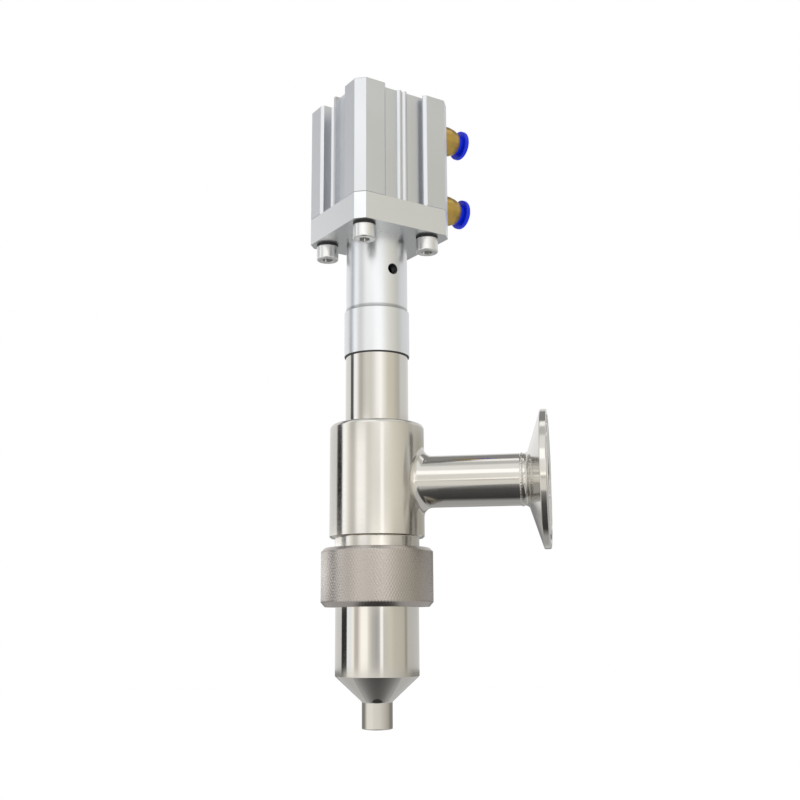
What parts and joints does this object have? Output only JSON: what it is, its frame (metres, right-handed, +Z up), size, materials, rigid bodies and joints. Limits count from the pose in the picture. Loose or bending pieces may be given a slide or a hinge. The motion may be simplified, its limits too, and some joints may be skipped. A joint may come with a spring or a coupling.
{
  "type": "filling nozzle",
  "caption": "Air-driven filling nozzle: clamp side inlet, tee body, knurled union nut, tapered outlet, and a square air cylinder that lifts the valve stem.",
  "frame": {"origin": "centre of the outlet's end face, on the valve axis", "axes": "+Z up the valve axis, +X along the side inlet towards its clamp face"},
  "size_m": [0.0894, 0.0582, 0.2377],
  "materials": {
    "anodised_aluminium": "fine blasted and clear anodised",
    "turned_aluminium": "fine turned, satin",
    "stainless": "turned and polished",
    "knurled_steel": "diamond knurl",
    "screw_steel": "bright stainless",
    "spring_steel": "dark spring steel",
    "polished_rod": "hard chromed",
    "brass": "machined brass",
    "bronze": "sintered bronze",
    "blue_plastic": "smooth moulded",
    "black_rubber": "matt",
    "white_rubber": "matt food-grade silicone",
    "white_plastic": "machined low-friction plastic",
    "magnet": "plastic-bound magnet"
  },
  "bodies": {
    "housing": {"cylinder_barrel": "anodised_aluminium", "front_cover": "anodised_aluminium", "rear_cover": "anodised_aluminium", "front_retaining_ring": "spring_steel", "rear_retaining_ring": "spring_steel", "front_cover_seal": "black_rubber", "rod_bush": "bronze", "rod_seal": "black_rubber", "rear_cover_gasket": "black_rubber", "flange_screws": "screw_steel", "spring_washers": "spring_steel", "adapter_flange": "turned_aluminium", "adapter_gasket": "black_rubber", "seal_housing": "stainless", "stem_guide_bush": "white_plastic", "lower_stem_seal": "white_rubber", "upper_stem_seal": "white_rubber", "housing_seal": "white_rubber", "tee_body": "stainless", "inlet_tube": "stainless", "inlet_ferrule": "stainless", "union_gasket": "white_rubber", "upper_fitting_body": "brass", "upper_grab_ring": "spring_steel", "upper_tube_seal": "black_rubber", "upper_thread_gasket": "black_rubber", "lower_fitting_body": "brass", "lower_grab_ring": "spring_steel", "lower_tube_seal": "black_rubber", "lower_thread_gasket": "black_rubber"},
    "valve_rod": {"piston": "anodised_aluminium", "piston_seal": "black_rubber", "piston_magnet": "magnet", "piston_screw": "stainless", "piston_rod": "polished_rod", "stem_lock_nut": "stainless", "valve_stem": "stainless", "valve_plug": "stainless", "plug_seal": "white_rubber"},
    "outlet_sleeve": {"nozzle_sleeve": "stainless"},
    "union": {"union_nut": "knurled_steel"},
    "upper_collar": {"upper_release_collar": "blue_plastic"},
    "lower_collar": {"lower_release_collar": "blue_plastic"}
  },
  "joints": [
    {"name": "valve_lift", "type": "slide", "parent": "housing", "child": "valve_rod", "axis": [0, 0, 1], "range_m": [0, 0.012]},
    {"name": "sleeve_drop", "type": "slide", "parent": "housing", "child": "outlet_sleeve", "axis": [0, 0, -1], "range_m": [0, 0.008]},
    {"name": "nut_turn", "type": "hinge", "parent": "outlet_sleeve", "child": "union", "pos_m": [0, 0, 0.0538], "axis": [0, 0, -1], "range_deg": [0, 1440]},
    {"name": "upper_collar_press", "type": "slide", "parent": "housing", "child": "upper_collar", "axis": [-0.7373, -0.6756, 0], "range_m": [0, 0.0012], "stiffness_N_per_m": 400},
    {"name": "lower_collar_press", "type": "slide", "parent": "housing", "child": "lower_collar", "axis": [-0.7373, -0.6756, 0], "range_m": [0, 0.0012], "stiffness_N_per_m": 400}
  ],
  "couplings": [
    {"joint": "sleeve_drop", "follows": "nut_turn", "m_per_rad": 0.00031831}
  ]
}
